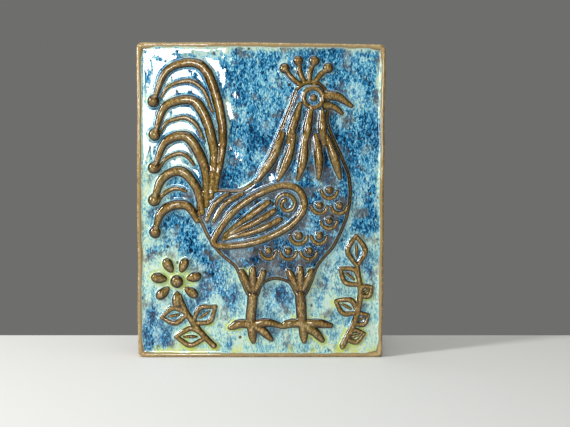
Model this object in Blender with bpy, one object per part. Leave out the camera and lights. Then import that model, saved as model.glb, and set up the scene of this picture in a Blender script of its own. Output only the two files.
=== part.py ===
"""Stoneware wall plaque with a moulded relief of a crested bird between two garden sprigs.

One press-moulded piece: a rounded slab with a low lip, the relief standing on its field, and a back
with two shallow wells and a pocket for a wall nail. It is drawn lying on its back, u to the right and
v upwards on the slab and the relief rising along Z, and is then stood up with its back on the wall
plane Y = 0 and its face towards -Y. The origin is the middle of the back.
"""

import math

import bmesh
import bpy

# Slab, in metres
PLAQUE_WIDTH = 0.240
PLAQUE_HEIGHT = 0.305
SLAB_THICKNESS = 0.0145
CORNER_RADIUS = 0.005
EDGE_ROUNDING = 0.0025
LIP_WIDTH = 0.0055
LIP_HEIGHT = 0.0015

# Back: two wells between a rim and a middle band, and a nail pocket in the rim's top
BACK_RIM = 0.022
BACK_TOP_RIM = 0.034
MIDDLE_BAND = 0.026
WELL_DEPTH = 0.0045
WELL_CORNER = 0.010
POCKET_WIDTH = 0.026
POCKET_HEIGHT = 0.009
POCKET_DEPTH = 0.009

# Relief: its drawing is 281 units tall, and a ridge sinks past halfway by a share of its radius
FIGURE_HEIGHT = 0.281
FIGURE_UNITS = 281.0
BODY_RISE = 0.003
BODY_EDGE_ROUNDING = 0.0014
BODY_ROOT = 0.0022
RIDGE_SINK = 0.16
RIDGE_STAGGER = 0.00003

# Facets: how far a facet may leave the true curve, the end that is too slim for a tip, and a boss's sides
LINE_TOLERANCE = 0.00045
SLIM_END = 0.0015
RIDGE_RESOLUTION = 1
BOSS_SIDES = 8
BOSS_RINGS = 4

GLAZE_COLOUR = (0.07, 0.30, 0.48, 1.0)
GLAZE_ROUGHNESS = 0.12

UNIT = FIGURE_HEIGHT / FIGURE_UNITS
FIELD = 0.0
ON_BODY = BODY_RISE / UNIT


def mix(a, b, t):
    """The point a share t of the way from a to b."""
    return (a[0] + (b[0] - a[0]) * t, a[1] + (b[1] - a[1]) * t)


def polar(centre, radius, degrees):
    """The point at a radius and an angle from a centre."""
    angle = math.radians(degrees)
    return (centre[0] + radius * math.cos(angle), centre[1] + radius * math.sin(angle))


def spline_point(a, b, c, d, t):
    """A centripetal Catmull-Rom curve from b to c, at share t."""

    def knot(start, p, q):
        return start + max(math.dist(p, q), 1e-6) ** 0.5

    t0 = 0.0
    t1 = knot(t0, a, b)
    t2 = knot(t1, b, c)
    t3 = knot(t2, c, d)
    s = t1 + (t2 - t1) * t
    ab = mix(a, b, (s - t0) / (t1 - t0))
    bc = mix(b, c, (s - t1) / (t2 - t1))
    cd = mix(c, d, (s - t2) / (t3 - t2))
    abc = mix(ab, bc, (s - t0) / (t2 - t0))
    bcd = mix(bc, cd, (s - t1) / (t3 - t1))
    return mix(abc, bcd, (s - t1) / (t2 - t1))


def smooth_line(points, closed=False, steps=10):
    """A smooth curve through the points, as many short steps."""
    count = len(points)
    if closed:
        ends = [points[-1], *points, points[0], points[1]]
        spans = count
    else:
        before = mix(points[1], points[0], 2.0)
        after = mix(points[-2], points[-1], 2.0)
        ends = [before, *points, after]
        spans = count - 1
    line = [spline_point(*ends[i : i + 4], step / steps) for i in range(spans) for step in range(steps)]
    if not closed:
        line.append(tuple(points[-1]))
    return line


def swell(share, ends, peak):
    """A ridge's radius along its length, as a share of its largest: ends[0], 1 at the peak, ends[1]."""
    if share < peak:
        return ends[0] + (1 - ends[0]) * math.sin(0.5 * math.pi * share / peak)
    return ends[1] + (1 - ends[1]) * math.cos(0.5 * math.pi * (share - peak) / (1 - peak))


def thinned(line, tolerance):
    """The line without the points that lie within the tolerance of the run between their neighbours."""
    first, last = line[0], line[-1]
    run = [b - a for a, b in zip(first, last)]
    length = math.hypot(*run) or 1e-12
    worst, where = 0.0, None
    for i in range(1, len(line) - 1):
        step = [b - a for a, b in zip(first, line[i])]
        along = max(0.0, min(1.0, sum(a * b for a, b in zip(step, run)) / length**2))
        off = math.hypot(*(s - along * r for s, r in zip(step, run)))
        if off > worst:
            worst, where = off, i
    if where is None or worst <= tolerance:
        return [first, last]
    return thinned(line[: where + 1], tolerance)[:-1] + thinned(line[where:], tolerance)


def inside(point, outline):
    """Whether a point lies inside a closed outline."""
    within = False
    for (u1, v1), (u2, v2) in zip(outline, outline[1:] + outline[:1]):
        if (v1 > point[1]) != (v2 > point[1]) and point[0] < (u2 - u1) * (point[1] - v1) / (v2 - v1) + u1:
            within = not within
    return within


def distance(point, outline):
    """How far a point is from a closed outline's nearest corner."""
    return min(math.dist(point, corner) for corner in outline)


class Relief:
    """The drawing of the relief in its own units: raised areas, ridges and round bosses."""

    def __init__(self):
        self.areas = []
        self.ridges = []
        self.bosses = []

    def area(self, points):
        self.areas.append(points)

    def ridge(self, points, radius, level=FIELD, ends=(0.5, 0.5), peak=0.45, closed=False):
        self.ridges.append((points, radius, level, ends, peak, closed))

    def boss(self, centre, radius, level=FIELD):
        self.bosses.append((centre, radius, level))


BODY_OUTLINE = (
    (50, 117), (64, 108), (66, 92), (66, 76), (76, 52), (87, 24), (86, -10), (73, -42), (57, -62),
    (50, -80), (43, -92), (34, -92), (27, -80), (14, -76), (3, -81), (-3, -93), (-12, -93), (-19, -81),
    (-26, -65), (-40, -52), (-54, -32), (-63, -8), (-58, 10), (-40, 13), (-20, 13), (-2, 27), (8, 48),
    (17, 70), (26, 92), (34, 110),
)
WING_OUTLINE = (
    (26, 16), (38, 10), (42, -4), (32, -20), (10, -33), (-18, -42),
    (-46, -40), (-38, -24), (-20, -4), (2, 10),
)
EYE = (50, 100)
CREST_ROOT = (44, 105)
SHOULDER = (25, -2)
FLOWER = (-82, -78)


def draw_tail(relief):
    """Arched plumes with a round boss at each tip, and a fine barb line between each two."""
    plumes = 5

    def arch(t):
        return [
            mix((-62, -18), (-44, 12), t),
            mix((-72, -4), (-38, 72), t),
            mix((-86, -4), (-58, 130), t),
            mix((-97, -12), (-89, 127), t),
            mix((-103, -30), (-103, 96), t),
        ]

    for i in range(plumes):
        plume = arch(i / (plumes - 1))
        relief.ridge(plume, 5.6, ends=(0.6, 0.5), peak=0.5)
        relief.boss(plume[-1], 6.8)
    for i in range(plumes - 1):
        line = smooth_line(arch((i + 0.5) / (plumes - 1)))
        barb = line[int(0.36 * len(line)) : int(0.92 * len(line)) : 4]
        relief.ridge(barb, 2.6, ends=(0.6, 0.5))


def draw_saddle(relief):
    """Short plumes that fall from the back beside the wing."""
    for t in (0.0, 0.5):
        fall = [mix((-18, 8), (-45, 8), t), mix((-34, -2), (-55, -3), t), mix((-46, -19), (-60, -18), t)]
        relief.ridge(fall, 3.4, ON_BODY, ends=(0.7, 0.5))


def draw_wing(relief):
    """A rimmed wing with a coiled shoulder and long flight feathers."""
    relief.ridge(WING_OUTLINE, 4.1, ON_BODY, ends=(1, 1), closed=True)
    feathers = 3
    for i in range(feathers):
        t = (i + 0.5) / feathers
        feather = [mix((4, 4), (21, -21), t), mix((-14, -11), (-2, -31), t), mix((-35, -31), (-37, -38), t)]
        relief.ridge(feather, 4.0, ON_BODY, ends=(0.9, 0.4), peak=0.2)
    turns = 18
    coil = [polar(SHOULDER, 10.8 * (1 - k / 26), 190 - k * 26) for k in range(turns)]
    relief.ridge(coil, 2.3, ON_BODY, ends=(0.7, 1.0))


def draw_neck(relief):
    """Two tiers of pointed neck plumes."""
    upper = ((32, 96), (64, 86)), ((24, 76), (66, 70)), ((17, 58), (69, 54))
    lower = ((16, 66), (68, 64)), ((4, 44), (78, 42)), ((-14, 20), (86, 24))
    for count, radius, rows in ((3, 5.0, upper), (5, 5.2, lower)):
        for i in range(count):
            t = (i + 0.5) / count
            relief.ridge([mix(*row, t) for row in rows], radius, ON_BODY, ends=(0.5, 0.42), peak=0.55)


def draw_breast(relief):
    """Staggered rows of scale feathers with a round boss in each, inside the body and off the wing."""
    body = smooth_line(BODY_OUTLINE, closed=True)
    wing = smooth_line(WING_OUTLINE, closed=True)
    pitch_u, pitch_v = 19.6, 14.8
    for row in range(-4, 1):
        for column in range(-3, 3):
            centre = (66 + (column + 0.5 * (row % 2)) * pitch_u, 12 + row * pitch_v)
            clear = inside(centre, body) and not inside(centre, wing)
            if not clear or distance(centre, wing) < 10.0 or distance(centre, body) < 6.5:
                continue
            relief.boss(centre, 4.6, ON_BODY)
            if distance(centre, body) > 9.6:
                scale = [polar(centre, 7.9, angle) for angle in range(187, 354, 33)]
                relief.ridge(scale, 2.4, ON_BODY, ends=(0.75, 0.75))


def draw_head(relief):
    """A ringed eye, a crest of stems with round tips, and a short beak."""
    relief.boss(EYE, 3.9, ON_BODY)
    ring = [polar(EYE, 9.2, angle) for angle in range(0, 360, 30)]
    relief.ridge(ring, 2.6, ON_BODY, ends=(1, 1), closed=True)
    for angle in (134, 106, 78, 50):
        bend = polar(CREST_ROOT, 20, angle + 4)
        stem = [polar(CREST_ROOT, 10, angle), bend, polar(CREST_ROOT, 31, angle)]
        relief.ridge(stem, 3.2, ends=(0.9, 0.7))
        relief.boss(stem[-1], 5.8)
    relief.ridge([(62, 103), (73, 102), (87, 93)], 5.6, ends=(1.0, 0.4), peak=0.1)
    relief.ridge([(62, 93), (70, 92), (78, 86)], 4.2, ends=(1.0, 0.5), peak=0.1)


def draw_legs(relief):
    """Two feathered thighs on straight legs, each with three toes forward and one back."""
    for knee, lean in (((-8, -92), -2), ((38, -91), 2)):
        for side in (-1, 0, 1):
            top = (knee[0] + 11 * side, knee[1] + 27 - 3 * abs(side))
            relief.ridge([top, (knee[0] + 3 * side, knee[1] + 6)], 4.7, ON_BODY, ends=(0.75, 0.5), peak=0.3)
        ankle = (knee[0] + lean, -119)
        relief.ridge([knee, ankle], 6.2, ends=(1.0, 0.85), peak=0.2)
        for angle, reach in ((-4, 29), (-38, 26), (-80, 18), (190, 20)):
            root = polar(ankle, 1.5, angle)
            knuckle = polar((ankle[0], ankle[1] + 2), 0.55 * reach, angle)
            relief.ridge([root, knuckle, polar(ankle, reach, angle)], 5.2, ends=(0.9, 0.55), peak=0.5)


def draw_leaf(relief, stalk, angle, reach, width):
    """An almond leaf: a rim in two arcs and a short midrib."""
    for turn in (90, -90):
        root = polar(stalk, 0.6, angle + turn)
        side = polar(polar(stalk, 0.5 * reach, angle), width, angle + turn)
        point = polar(polar(stalk, reach, angle), 0.4, angle + turn)
        relief.ridge([root, side, point], 3.0, ends=(0.75, 0.7))
    midrib = [polar(stalk, 0.3 * reach, angle), polar(stalk, 0.72 * reach, angle)]
    relief.ridge(midrib, 1.8, ends=(0.7, 0.6))


def draw_sprig(relief, stem, leaves):
    """A stem with leaves, each at a share of the stem's length."""
    relief.ridge(stem, 3.5, ends=(1, 0.7))
    line = smooth_line(stem)
    for share, angle, reach, width in leaves:
        draw_leaf(relief, line[round(share * (len(line) - 1))], angle, reach, width)


def draw_flower(relief, centre, petals=7, reach=21):
    """A daisy: a boss with a ring of petals."""
    relief.boss(centre, 6.8)
    for k in range(petals):
        angle = 360 * k / petals + 15
        petal = [polar(centre, 0.58 * reach, angle), polar(centre, reach, angle)]
        relief.ridge(petal, 5.6, ends=(0.5, 0.85), peak=0.75)


def draw_relief():
    """The whole drawing, from the tail to the flower."""
    relief = Relief()
    relief.area(BODY_OUTLINE)
    draw_tail(relief)
    draw_saddle(relief)
    draw_wing(relief)
    draw_neck(relief)
    draw_breast(relief)
    draw_head(relief)
    draw_legs(relief)
    draw_sprig(
        relief,
        [(80, -141), (92, -116), (97, -88), (94, -62)],
        (
            (0.1, 14, 18, 6), (0.3, 30, 16, 6), (0.44, 152, 23, 7.5), (0.62, 36, 14, 5.5),
            (0.76, 142, 24, 7.5), (1.0, 92, 29, 8.5),
        ),
    )
    draw_sprig(
        relief,
        [(-46, -141), (-62, -124), (-74, -106), (-79, -92)],
        ((0.16, 178, 28, 8), (0.42, 36, 27, 8), (0.6, 188, 24, 7.5)),
    )
    draw_flower(relief, FLOWER)
    return relief


def clear_scene():
    """Removes the objects that the file opened with."""
    for obj in list(bpy.data.objects):
        bpy.data.objects.remove(obj)


def new_collection(name):
    """A collection linked to the scene."""
    collection = bpy.data.collections.new(name)
    bpy.context.scene.collection.children.link(collection)
    return collection


def helper(obj):
    """Marks a shape that only cuts or joins the plaque."""
    obj.hide_render = True
    obj.display_type = "WIRE"
    return obj


def mesh_from_curve(curve_object, collection):
    """The evaluated curve as a closed mesh object in the same place, and the curve removed."""
    graph = bpy.context.evaluated_depsgraph_get()
    mesh = bpy.data.meshes.new_from_object(curve_object.evaluated_get(graph))
    shape = bmesh.new()
    shape.from_mesh(mesh)
    bmesh.ops.remove_doubles(shape, verts=shape.verts, dist=1e-6)
    shape.to_mesh(mesh)
    shape.free()
    name = curve_object.name
    place = curve_object.matrix_world.copy()
    bpy.data.objects.remove(curve_object)
    solid = bpy.data.objects.new(name, mesh)
    solid.matrix_world = place
    collection.objects.link(solid)
    return solid


def rounded_block(name, width, height, bottom, top, corner, collection, bevel=0.0, centre=(0.0, 0.0)):
    """A block with rounded upright corners, as a flat outline with thickness."""
    curve = bpy.data.curves.new(name, "CURVE")
    curve.dimensions = "2D"
    curve.fill_mode = "BOTH"
    curve.extrude = (top - bottom) / 2 - bevel
    curve.bevel_depth = bevel
    curve.bevel_resolution = 1
    curve.offset = -bevel
    steps = 4
    corners = []
    for quarter, (side_u, side_v) in enumerate(((1, 1), (-1, 1), (-1, -1), (1, -1))):
        turn = (side_u * (width / 2 - corner), side_v * (height / 2 - corner))
        corners += [polar(turn, corner, 90 * (quarter + k / steps)) for k in range(steps + 1)]
    spline = curve.splines.new("POLY")
    spline.points.add(len(corners) - 1)
    for point, (u, v) in zip(spline.points, corners):
        point.co = (u, v, 0.0, 1.0)
    spline.use_cyclic_u = True
    obj = bpy.data.objects.new(name, curve)
    obj.location = (*centre, (top + bottom) / 2)
    collection.objects.link(obj)
    bpy.context.view_layer.update()
    return mesh_from_curve(obj, collection)


def raised_area(name, outline, collection):
    """A raised area with a rounded upper edge, rooted in the slab."""
    line = smooth_line(outline, closed=True)
    line = thinned(line + line[:1], LINE_TOLERANCE / UNIT)[:-1]
    curve = bpy.data.curves.new(name, "CURVE")
    curve.dimensions = "2D"
    curve.fill_mode = "BOTH"
    curve.extrude = (BODY_RISE + BODY_ROOT) / 2 - BODY_EDGE_ROUNDING
    curve.bevel_depth = BODY_EDGE_ROUNDING
    curve.bevel_resolution = 1
    curve.offset = -BODY_EDGE_ROUNDING
    spline = curve.splines.new("POLY")
    spline.points.add(len(line) - 1)
    for point, (u, v) in zip(spline.points, line):
        point.co = (u * UNIT, v * UNIT, 0.0, 1.0)
    spline.use_cyclic_u = True
    obj = bpy.data.objects.new(name, curve)
    obj.location = (0.0, 0.0, SLAB_THICKNESS + (BODY_RISE - BODY_ROOT) / 2)
    collection.objects.link(obj)
    bpy.context.view_layer.update()
    return mesh_from_curve(obj, collection)


def ridge_line(points, radius, ends, peak, closed):
    """(u, v, radius) along a ridge, with rounded tips, thinned to what its shape needs."""
    line = smooth_line(points, closed)
    if closed:
        return thinned([(u, v, radius) for u, v in line + line[:1]], LINE_TOLERANCE / UNIT)[:-1]
    walked = [0.0]
    for a, b in zip(line, line[1:]):
        walked.append(walked[-1] + math.dist(a, b))
    body = [(u, v, radius * swell(s / walked[-1], ends, peak)) for (u, v), s in zip(line, walked)]

    def tip(end, before):
        if end[2] * UNIT < SLIM_END:
            return []
        beyond = mix(before, end, 1 + 0.9 * end[2] / math.dist(end[:2], before[:2]))
        return [(*beyond, 0.45 * end[2])]

    return tip(body[0], body[1]) + thinned(body, LINE_TOLERANCE / UNIT) + tip(body[-1], body[-2])


def stagger(i):
    """A slight extra depth that differs between neighbours, so that crossing ridges share no face."""
    return RIDGE_STAGGER * (i % 7)


def raised_ridge(name, line, height, closed, collection):
    """A round ridge, its axis at the height."""
    largest = max(radius for _, _, radius in line) * UNIT
    curve = bpy.data.curves.new(name, "CURVE")
    curve.dimensions = "3D"
    curve.twist_mode = "Z_UP"
    curve.bevel_depth = largest
    curve.bevel_resolution = RIDGE_RESOLUTION
    curve.use_fill_caps = not closed
    spline = curve.splines.new("POLY")
    spline.points.add(len(line) - 1)
    for point, (u, v, radius) in zip(spline.points, line):
        point.co = (u * UNIT, v * UNIT, 0.0, 1.0)
        point.radius = radius * UNIT / largest
    spline.use_cyclic_u = closed
    obj = bpy.data.objects.new(name, curve)
    obj.location = (0.0, 0.0, height)
    collection.objects.link(obj)
    bpy.context.view_layer.update()
    return mesh_from_curve(obj, collection)


def raised_boss(name, centre, radius, height, collection):
    """A round boss, a ball with its middle at the height."""
    mesh = bpy.data.meshes.new(name)
    ball = bmesh.new()
    bmesh.ops.create_uvsphere(ball, u_segments=BOSS_SIDES, v_segments=BOSS_RINGS, radius=radius * UNIT)
    ball.to_mesh(mesh)
    ball.free()
    obj = bpy.data.objects.new(name, mesh)
    obj.location = (centre[0] * UNIT, centre[1] * UNIT, height)
    collection.objects.link(obj)
    return obj


def glazed_stoneware():
    """Blue reactive glaze on stoneware, as one even colour."""
    material = bpy.data.materials.new("glazed_stoneware")
    material.use_nodes = True
    shader = material.node_tree.nodes["Principled BSDF"]
    shader.inputs["Base Color"].default_value = GLAZE_COLOUR
    shader.inputs["Roughness"].default_value = GLAZE_ROUGHNESS
    shader.inputs["Metallic"].default_value = 0.0
    material.diffuse_color = GLAZE_COLOUR
    return material


def boolean(obj, operation, collection, name):
    """Cuts or joins a whole collection in one go."""
    modifier = obj.modifiers.new(name, "BOOLEAN")
    modifier.operation = operation
    modifier.operand_type = "COLLECTION"
    modifier.collection = collection
    modifier.solver = "EXACT"


def main():
    clear_scene()
    parts = new_collection("wall_plaque")
    cutters = new_collection("cutters")
    mouldings = new_collection("mouldings")

    lip_top = SLAB_THICKNESS + LIP_HEIGHT
    plaque = rounded_block(
        "plaque", PLAQUE_WIDTH, PLAQUE_HEIGHT, 0.0, lip_top, CORNER_RADIUS, parts, EDGE_ROUNDING
    )

    inner = 2 * LIP_WIDTH
    rounded_block(
        "field_cut", PLAQUE_WIDTH - inner, PLAQUE_HEIGHT - inner, SLAB_THICKNESS, lip_top + 0.004,
        CORNER_RADIUS, cutters,
    )
    well_top = PLAQUE_HEIGHT / 2 - BACK_TOP_RIM
    well_foot = -PLAQUE_HEIGHT / 2 + BACK_RIM
    wells = ("upper_well", MIDDLE_BAND / 2, well_top), ("lower_well", well_foot, -MIDDLE_BAND / 2)
    for name, low, high in wells:
        rounded_block(
            name, PLAQUE_WIDTH - 2 * BACK_RIM, high - low, -WELL_DEPTH, WELL_DEPTH, WELL_CORNER, cutters,
            centre=(0.0, (low + high) / 2),
        )
    pocket_height = PLAQUE_HEIGHT / 2 - BACK_TOP_RIM / 2
    rounded_block(
        "nail_pocket", POCKET_WIDTH, POCKET_HEIGHT, -POCKET_DEPTH, POCKET_DEPTH, POCKET_HEIGHT / 3, cutters,
        centre=(0.0, pocket_height),
    )

    relief = draw_relief()
    for i, outline in enumerate(relief.areas):
        raised_area(f"area_{i}", outline, mouldings)
    for i, (points, radius, level, ends, peak, closed) in enumerate(relief.ridges):
        height = SLAB_THICKNESS + (level - RIDGE_SINK * radius) * UNIT - stagger(i)
        line = ridge_line(points, radius, ends, peak, closed)
        raised_ridge(f"ridge_{i}", line, height, closed, mouldings)
    for i, (centre, radius, level) in enumerate(relief.bosses):
        height = SLAB_THICKNESS + (level - RIDGE_SINK * radius) * UNIT - stagger(i)
        raised_boss(f"boss_{i}", centre, radius, height, mouldings)

    for obj in [*cutters.objects, *mouldings.objects]:
        helper(obj)
    boolean(plaque, "DIFFERENCE", cutters, "sink the field and the back")
    boolean(plaque, "UNION", mouldings, "raise the relief")
    for obj in [plaque, *cutters.objects, *mouldings.objects]:
        obj.location = (obj.location.x, -obj.location.z, obj.location.y)
        obj.rotation_euler = (math.pi / 2, 0.0, 0.0)
    plaque.data.materials.append(glazed_stoneware())


main()
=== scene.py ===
"""Glazed stoneware wall plaque with a moulded crested bird between two garden sprigs, and its stage.

The plaque is one piece. It is shaped lying on its back, u to the right, v upwards and the relief
rising along Z, and is then stood up with its back on the plane Y = 0 and its face towards -Y.
"""

import math

import bpy
import numpy as np
from bpy.props import FloatProperty, FloatVectorProperty, PointerProperty
from mathutils import Euler, Matrix, Vector


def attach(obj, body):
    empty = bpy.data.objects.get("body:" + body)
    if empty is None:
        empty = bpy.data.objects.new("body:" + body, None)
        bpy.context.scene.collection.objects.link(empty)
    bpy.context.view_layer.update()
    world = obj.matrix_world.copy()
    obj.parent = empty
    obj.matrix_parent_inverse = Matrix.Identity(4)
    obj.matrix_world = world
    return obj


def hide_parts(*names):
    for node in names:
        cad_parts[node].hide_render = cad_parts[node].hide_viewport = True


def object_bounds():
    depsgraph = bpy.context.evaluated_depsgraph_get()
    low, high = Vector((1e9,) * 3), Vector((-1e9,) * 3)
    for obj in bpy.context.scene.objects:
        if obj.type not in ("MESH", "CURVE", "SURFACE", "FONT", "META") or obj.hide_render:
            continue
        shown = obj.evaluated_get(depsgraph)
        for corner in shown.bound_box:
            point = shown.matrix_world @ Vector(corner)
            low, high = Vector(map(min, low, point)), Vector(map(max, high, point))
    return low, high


bl_info = {
    "name": "Glazed Wall Plaque",
    "version": (1, 0, 0),
    "blender": (4, 5, 0),
    "location": "View3D > Sidebar > Plaque",
    "description": "Models a glazed stoneware wall plaque with a moulded crested bird, and its stage",
    "category": "Add Mesh",
}

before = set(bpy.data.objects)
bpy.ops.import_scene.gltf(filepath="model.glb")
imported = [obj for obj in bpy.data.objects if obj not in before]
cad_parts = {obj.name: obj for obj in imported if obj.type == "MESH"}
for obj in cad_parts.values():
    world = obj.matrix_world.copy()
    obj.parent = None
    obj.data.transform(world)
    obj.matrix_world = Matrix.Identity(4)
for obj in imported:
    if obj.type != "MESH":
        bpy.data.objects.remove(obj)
CAD_LOW, CAD_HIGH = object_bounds()

MM = 0.001

# The drawing's own units: its height in them, and the levels of the field and of the raised body
FIGURE_UNITS = 281.0
FIELD = 0.0
ON_BODY = 3.0

# Farthest distance noted for the glaze: from a shape in the drawing's units, from the border in millimetres
FAR = 24.0

# The raised body, in the drawing's units: its rolled edge, crown and fillet, and the worn line on its edge
ROLL_OUTSIDE, ROLL_WIDTH = 1.2, 4.4
CROWN_RISE, CROWN_REACH = 0.9, 26
BODY_FILLET = 0.3
WORN_LINE, WORN_INSIDE, WORN_WIDTH = 0.85, 1.7, 1.5

# A ridge: the share of its radius that is sunk, how full its section is, and in the drawing's units the
# fall of the ground beside it, its fillet, how far that reaches, and its step up onto the body
RIDGE_SINK = 0.16
RIDGE_FULLNESS = 0.54
SKIRT_FALL = 1.2
RIDGE_FILLET = 1.4
RIDGE_REACH = 10.0
RIDGE_STEP = 0.6

# The lip's flat top and its inner slope as shares of its width, its fillet, how far the field may sink
# below its level, and where the drawing fades out beside the lip
LIP_FLAT, LIP_SLOPE = 0.35, 0.85
LIP_FILLET = 0.25 * MM
FIELD_SINK = 0.4 * MM
FADE_START, FADE_WIDTH = 4.0 * MM, 2.5 * MM

# The upper edge's bow, and from which share of the half height and half width the outline is moved
TOP_BOW = 1.2 * MM
BOW_FROM, WANDER_FROM = 0.2, 0.6

# Where the border is bare of glaze: from where and how wide, and how much further at a corner
BARE_START, BARE_WIDTH = 0.5 * MM, 6.0 * MM
CORNER_WEAR, CORNER_REACH = 3.5 * MM, 20 * MM

# The distance from the border, in millimetres, that the glaze takes all over the sides
SIDE_RIM = 6.0

# Points closer than this are one, and a length this small is none
TOUCHING = 1e-6
TINY = 1e-9

# A well's floor is rounded by this share of its depth
FLOOR_ROUNDING = 0.35

# Faces that meet at less than this angle in degrees are shaded as one smooth skin
SMOOTH_ANGLE = 50

# Sizes of the patterns in the glaze and in the bare clay
CRYSTAL = 1.5 * MM
CLOUD = 11 * MM
TONE = 46 * MM
SMUDGE = 15 * MM
PINHOLE_PITCH = 9 * MM
RIPPLE, RIPPLE_HEIGHT = 6 * MM, 0.16 * MM
GROG, GROG_HEIGHT = 1.1 * MM, 0.35 * MM

# Widths of the pale and of the tan glaze along the border, as shares of the farthest distance
PALE_BORDER = 13 / FAR
TAN_BORDER = 9 / FAR

# Heights where the yellow-green starts and where it is full, along the shapes and along the foot
ASH_START, ASH_FULL = -45 * MM, -75 * MM
SEEP_START, SEEP_FULL = -138 * MM, -147 * MM

# Sockets of a mix node: its share, its two numbers and its two colours
SHARE, NUMBER_A, NUMBER_B, UNDER, OVER = 0, 2, 3, 6, 7

# The table's reach, each light's place and size, and the camera's place and turns in degrees
TABLE_BACK = 0.09
TABLE_FRONT = -0.75
TABLE_HALF_WIDTH = 0.9
LIGHTS = {
    "window": ((-1.25, -0.65, 0.5), (0.18, 0.8)),
    "pane": ((-0.22, -1.3, 0.19), (0.19, 0.28)),
    "sky": ((-0.15, -0.3, 1.45), (1.5, 1.0)),
}
CAMERA_PLACE = (0.0058, -0.784, 0.0285)
CAMERA_YAW = 1.302
CAMERA_PITCH = -2.951
CAMERA_ROLL = -0.269


def length(name, description, default):
    """A size in metres that a user may change."""
    return FloatProperty(name=name, description=description, default=default, unit="LENGTH", precision=5)


def power(name, description, default):
    """A light's power in watts that a user may change."""
    return FloatProperty(name=name, description=description, default=default, unit="POWER")


def linear(code):
    """The linear colour of an sRGB hex value."""
    parts = [int(code[i : i + 2], 16) / 255 for i in (1, 3, 5)]
    return (*(c / 12.92 if c <= 0.04045 else ((c + 0.055) / 1.055) ** 2.4 for c in parts), 1.0)


def colour(name, description, code):
    """A colour that a user may change, given as an sRGB hex value."""
    return FloatVectorProperty(
        name=name, description=description, default=linear(code), subtype="COLOR", size=4, min=0.0, max=1.0
    )


class PlaqueSizes(bpy.types.PropertyGroup):
    """Sizes of the slab, of its lip and drawing, and of its back"""

    width: length("Width", "Width of the slab", CAD_HIGH.x - CAD_LOW.x)
    height: length("Height", "Height of the slab", CAD_HIGH.z - CAD_LOW.z)
    thickness: length("Thickness", "From the back to the field", 14.5 * MM)
    corner: length("Corner radius", "Rounding of the outline's corners", 5.0 * MM)
    edge: length("Edge rounding", "Rounding of the slab's long edges", 2.5 * MM)
    lip_width: length("Lip width", "Width of the low lip round the field", 5.5 * MM)
    lip_height: length("Lip height", "Height of the lip above the field", 1.5 * MM)
    figure: length("Figure height", "Height of the moulded drawing", FIGURE_UNITS * MM)
    grid: length("Clay grain", "Spacing of the face's points", 0.96 * MM)
    wobble: length("Hand wobble", "How far the hand-pressed shape wanders", 0.45 * MM)
    rim: length("Back rim", "Width of the rim round the back's wells", 22.0 * MM)
    top_rim: length("Top rim", "Width of the rim at the top of the back", 34.0 * MM)
    band: length("Middle band", "Height of the band between the wells", 26.0 * MM)
    well_depth: length("Well depth", "Depth of the back's wells", 4.5 * MM)
    well_corner: length("Well corner", "Corner radius of the wells", 10.0 * MM)
    pocket_width: length("Pocket width", "Width of the nail pocket", 26.0 * MM)
    pocket_height: length("Pocket height", "Height of the nail pocket", 9.0 * MM)
    pocket_depth: length("Pocket depth", "Depth of the nail pocket", 9.0 * MM)


class GlazeColours(bpy.types.PropertyGroup):
    """Colours of the glaze and of the clay where it shows, some also used as painted shade and light on the
    ridges
    """

    ink: colour("Ink", "Darkest specks of the glaze", "#02192A")
    deep: colour("Deep blue", "Dark specks of the glaze", "#054773")
    azure: colour("Azure", "Main blue of the glaze", "#237DAE")
    sky: colour("Sky blue", "Lighter specks of the glaze", "#56A4C4")
    aqua: colour("Aqua", "Light specks of the glaze", "#92CED8")
    sage: colour("Sage", "Dull specks in the glaze's pale rims", "#7DA39A")
    celadon: colour("Celadon", "Pale rims of the pools", "#B0D6C2")
    cream: colour("Cream", "Palest rims of the pools", "#D6DAB2")
    smudge: colour("Smudge", "Grey iron smudges", "#5A554F")
    lime: colour("Lime", "Yellow-green runs low on the face", "#BCC61A")
    fringe: colour("Fringe", "Milky edge where the glaze breaks", "#A6CFDB")
    # Foot and umber also serve as painted shade at the ridges' feet and on their sides, and ochre and straw
    # as painted light on their backs; umber is also the pinholes' own colour and straw the real tan of the
    # border
    foot: colour("Foot", "Body colour at the ridges' feet", "#110B02")
    umber: colour("Umber", "Body colour on the ridges' sides", "#342002")
    ochre: colour("Ochre", "Body colour on the ridges' backs", "#806229")
    moss: colour("Moss", "Body colour under thicker glaze", "#5C5422")
    straw: colour("Straw", "Body colour where the glaze is thinnest", "#D0B684")
    clay: colour("Clay", "Bare fired clay of the back", "#A98A62")
    grog: colour("Grog", "Darker grains in the bare clay", "#80613F")


class StageSettings(bpy.types.PropertyGroup):
    """The lens, the plain table and backdrop, and the power of the lights"""

    lens: FloatProperty(name="Lens", description="Focal length in millimetres", default=50.0)
    floor: colour("Floor", "Pale table top", "#DEDEDB")
    wall: colour("Backdrop", "Plain grey behind the object", "#6E6F6D")
    window: power("Window", "Tall soft light on the left", 22.0)
    pane: power("Pane", "Small soft light behind the camera", 4.0)
    sky: power("Sky", "Broad soft light overhead", 13.8)


def mix(a, b, t):
    """The point a share t of the way from a to b."""
    return (a[0] + (b[0] - a[0]) * t, a[1] + (b[1] - a[1]) * t)


def polar(centre, radius, degrees):
    """The point at a radius and an angle from a centre."""
    angle = math.radians(degrees)
    return (centre[0] + radius * math.cos(angle), centre[1] + radius * math.sin(angle))


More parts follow.
